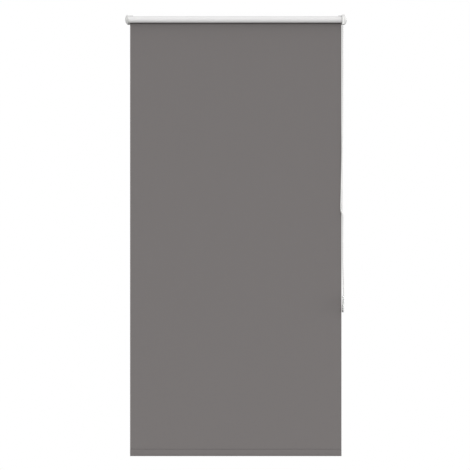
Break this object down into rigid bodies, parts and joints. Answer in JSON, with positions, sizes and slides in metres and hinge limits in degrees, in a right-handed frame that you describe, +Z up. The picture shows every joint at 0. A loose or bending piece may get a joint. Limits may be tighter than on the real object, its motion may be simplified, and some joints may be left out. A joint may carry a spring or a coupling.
{
  "type": "roller blind",
  "caption": "Chain-operated roller blind with a plain cloth, domed white end covers, wall brackets, a bead chain with a clear tensioner and a weighted hem.",
  "frame": {"origin": "on the wall's surface, level with the roller's axis, midway between the outer faces of the two end covers", "axes": "+X along the roller towards the chain, -Y into the room and +Y into the wall, +Z up"},
  "size_m": [0.75, 0.0387, 1.4947],
  "materials": {
    "white_plastic": "satin",
    "chain_plastic": "satin",
    "clear_plastic": "clear gloss",
    "inner_plastic": "satin",
    "steel": "drawn wire",
    "aluminium": "mill",
    "cloth_front": "fine plain weave, coated",
    "cloth_reverse": "light coated reverse",
    "tape": "adhesive film"
  },
  "bodies": {
    "wall_parts": {"bracket_left": "white_plastic", "bracket_right": "white_plastic", "cover_left": "white_plastic", "cover_right": "white_plastic", "control_housing": "white_plastic", "control_spindle": "inner_plastic", "retaining_clip": "steel", "fabric_sheet": "cloth_front"},
    "bottom_rail": {"hem_pocket": "cloth_front", "bottom_bar": "aluminium", "bar_end_left": "inner_plastic", "bar_end_right": "inner_plastic"},
    "roller": {"roller_tube": "aluminium", "fabric_tape": "tape", "fabric_roll": "cloth_reverse", "idle_plug": "white_plastic", "idle_plug_cap": "inner_plastic", "idle_spring": "steel", "drive_hub": "inner_plastic"},
    "pin": {"idle_pin": "steel"},
    "chain_wheel": {"sprocket": "inner_plastic", "chain_wrap": "chain_plastic", "wrap_spring_inner": "steel", "wrap_spring_outer": "steel"},
    "chain_loop": {"chain_front_upper": "chain_plastic", "chain_front_lower": "chain_plastic", "chain_rear": "chain_plastic", "chain_bottom": "chain_plastic", "chain_connector": "chain_plastic", "tensioner_left": "clear_plastic", "tensioner_right": "clear_plastic"}
  },
  "joints": [
    {"name": "lift", "type": "slide", "parent": "wall_parts", "child": "bottom_rail", "axis": [0, 0, 1], "range_m": [0, 1.408], "deforming": ["fabric_sheet"]},
    {"name": "roller_turn", "type": "hinge", "parent": "wall_parts", "child": "roller", "pos_m": [0, -0.022, 0], "axis": [1, 0, 0], "range_deg": [0, 7270]},
    {"name": "chain_wheel_turn", "type": "hinge", "parent": "wall_parts", "child": "chain_wheel", "pos_m": [0.361, -0.022, 0], "axis": [1, 0, 0], "range_deg": [0, 7270]},
    {"name": "pin_push", "type": "slide", "parent": "roller", "child": "pin", "axis": [1, 0, 0], "range_m": [0, 0.005], "stiffness_N_per_m": 300, "springref_m": -0.004, "deforming": ["idle_spring"]},
    {"name": "chain_swing", "type": "hinge", "parent": "wall_parts", "child": "chain_loop", "pos_m": [0.361, -0.022, -0.015], "axis": [-1, 0, 0], "range_deg": [0, 8]}
  ],
  "couplings": [
    {"joint": "roller_turn", "follows": "lift", "rad_per_m": 90.09},
    {"joint": "chain_wheel_turn", "follows": "lift", "rad_per_m": 90.09}
  ]
}
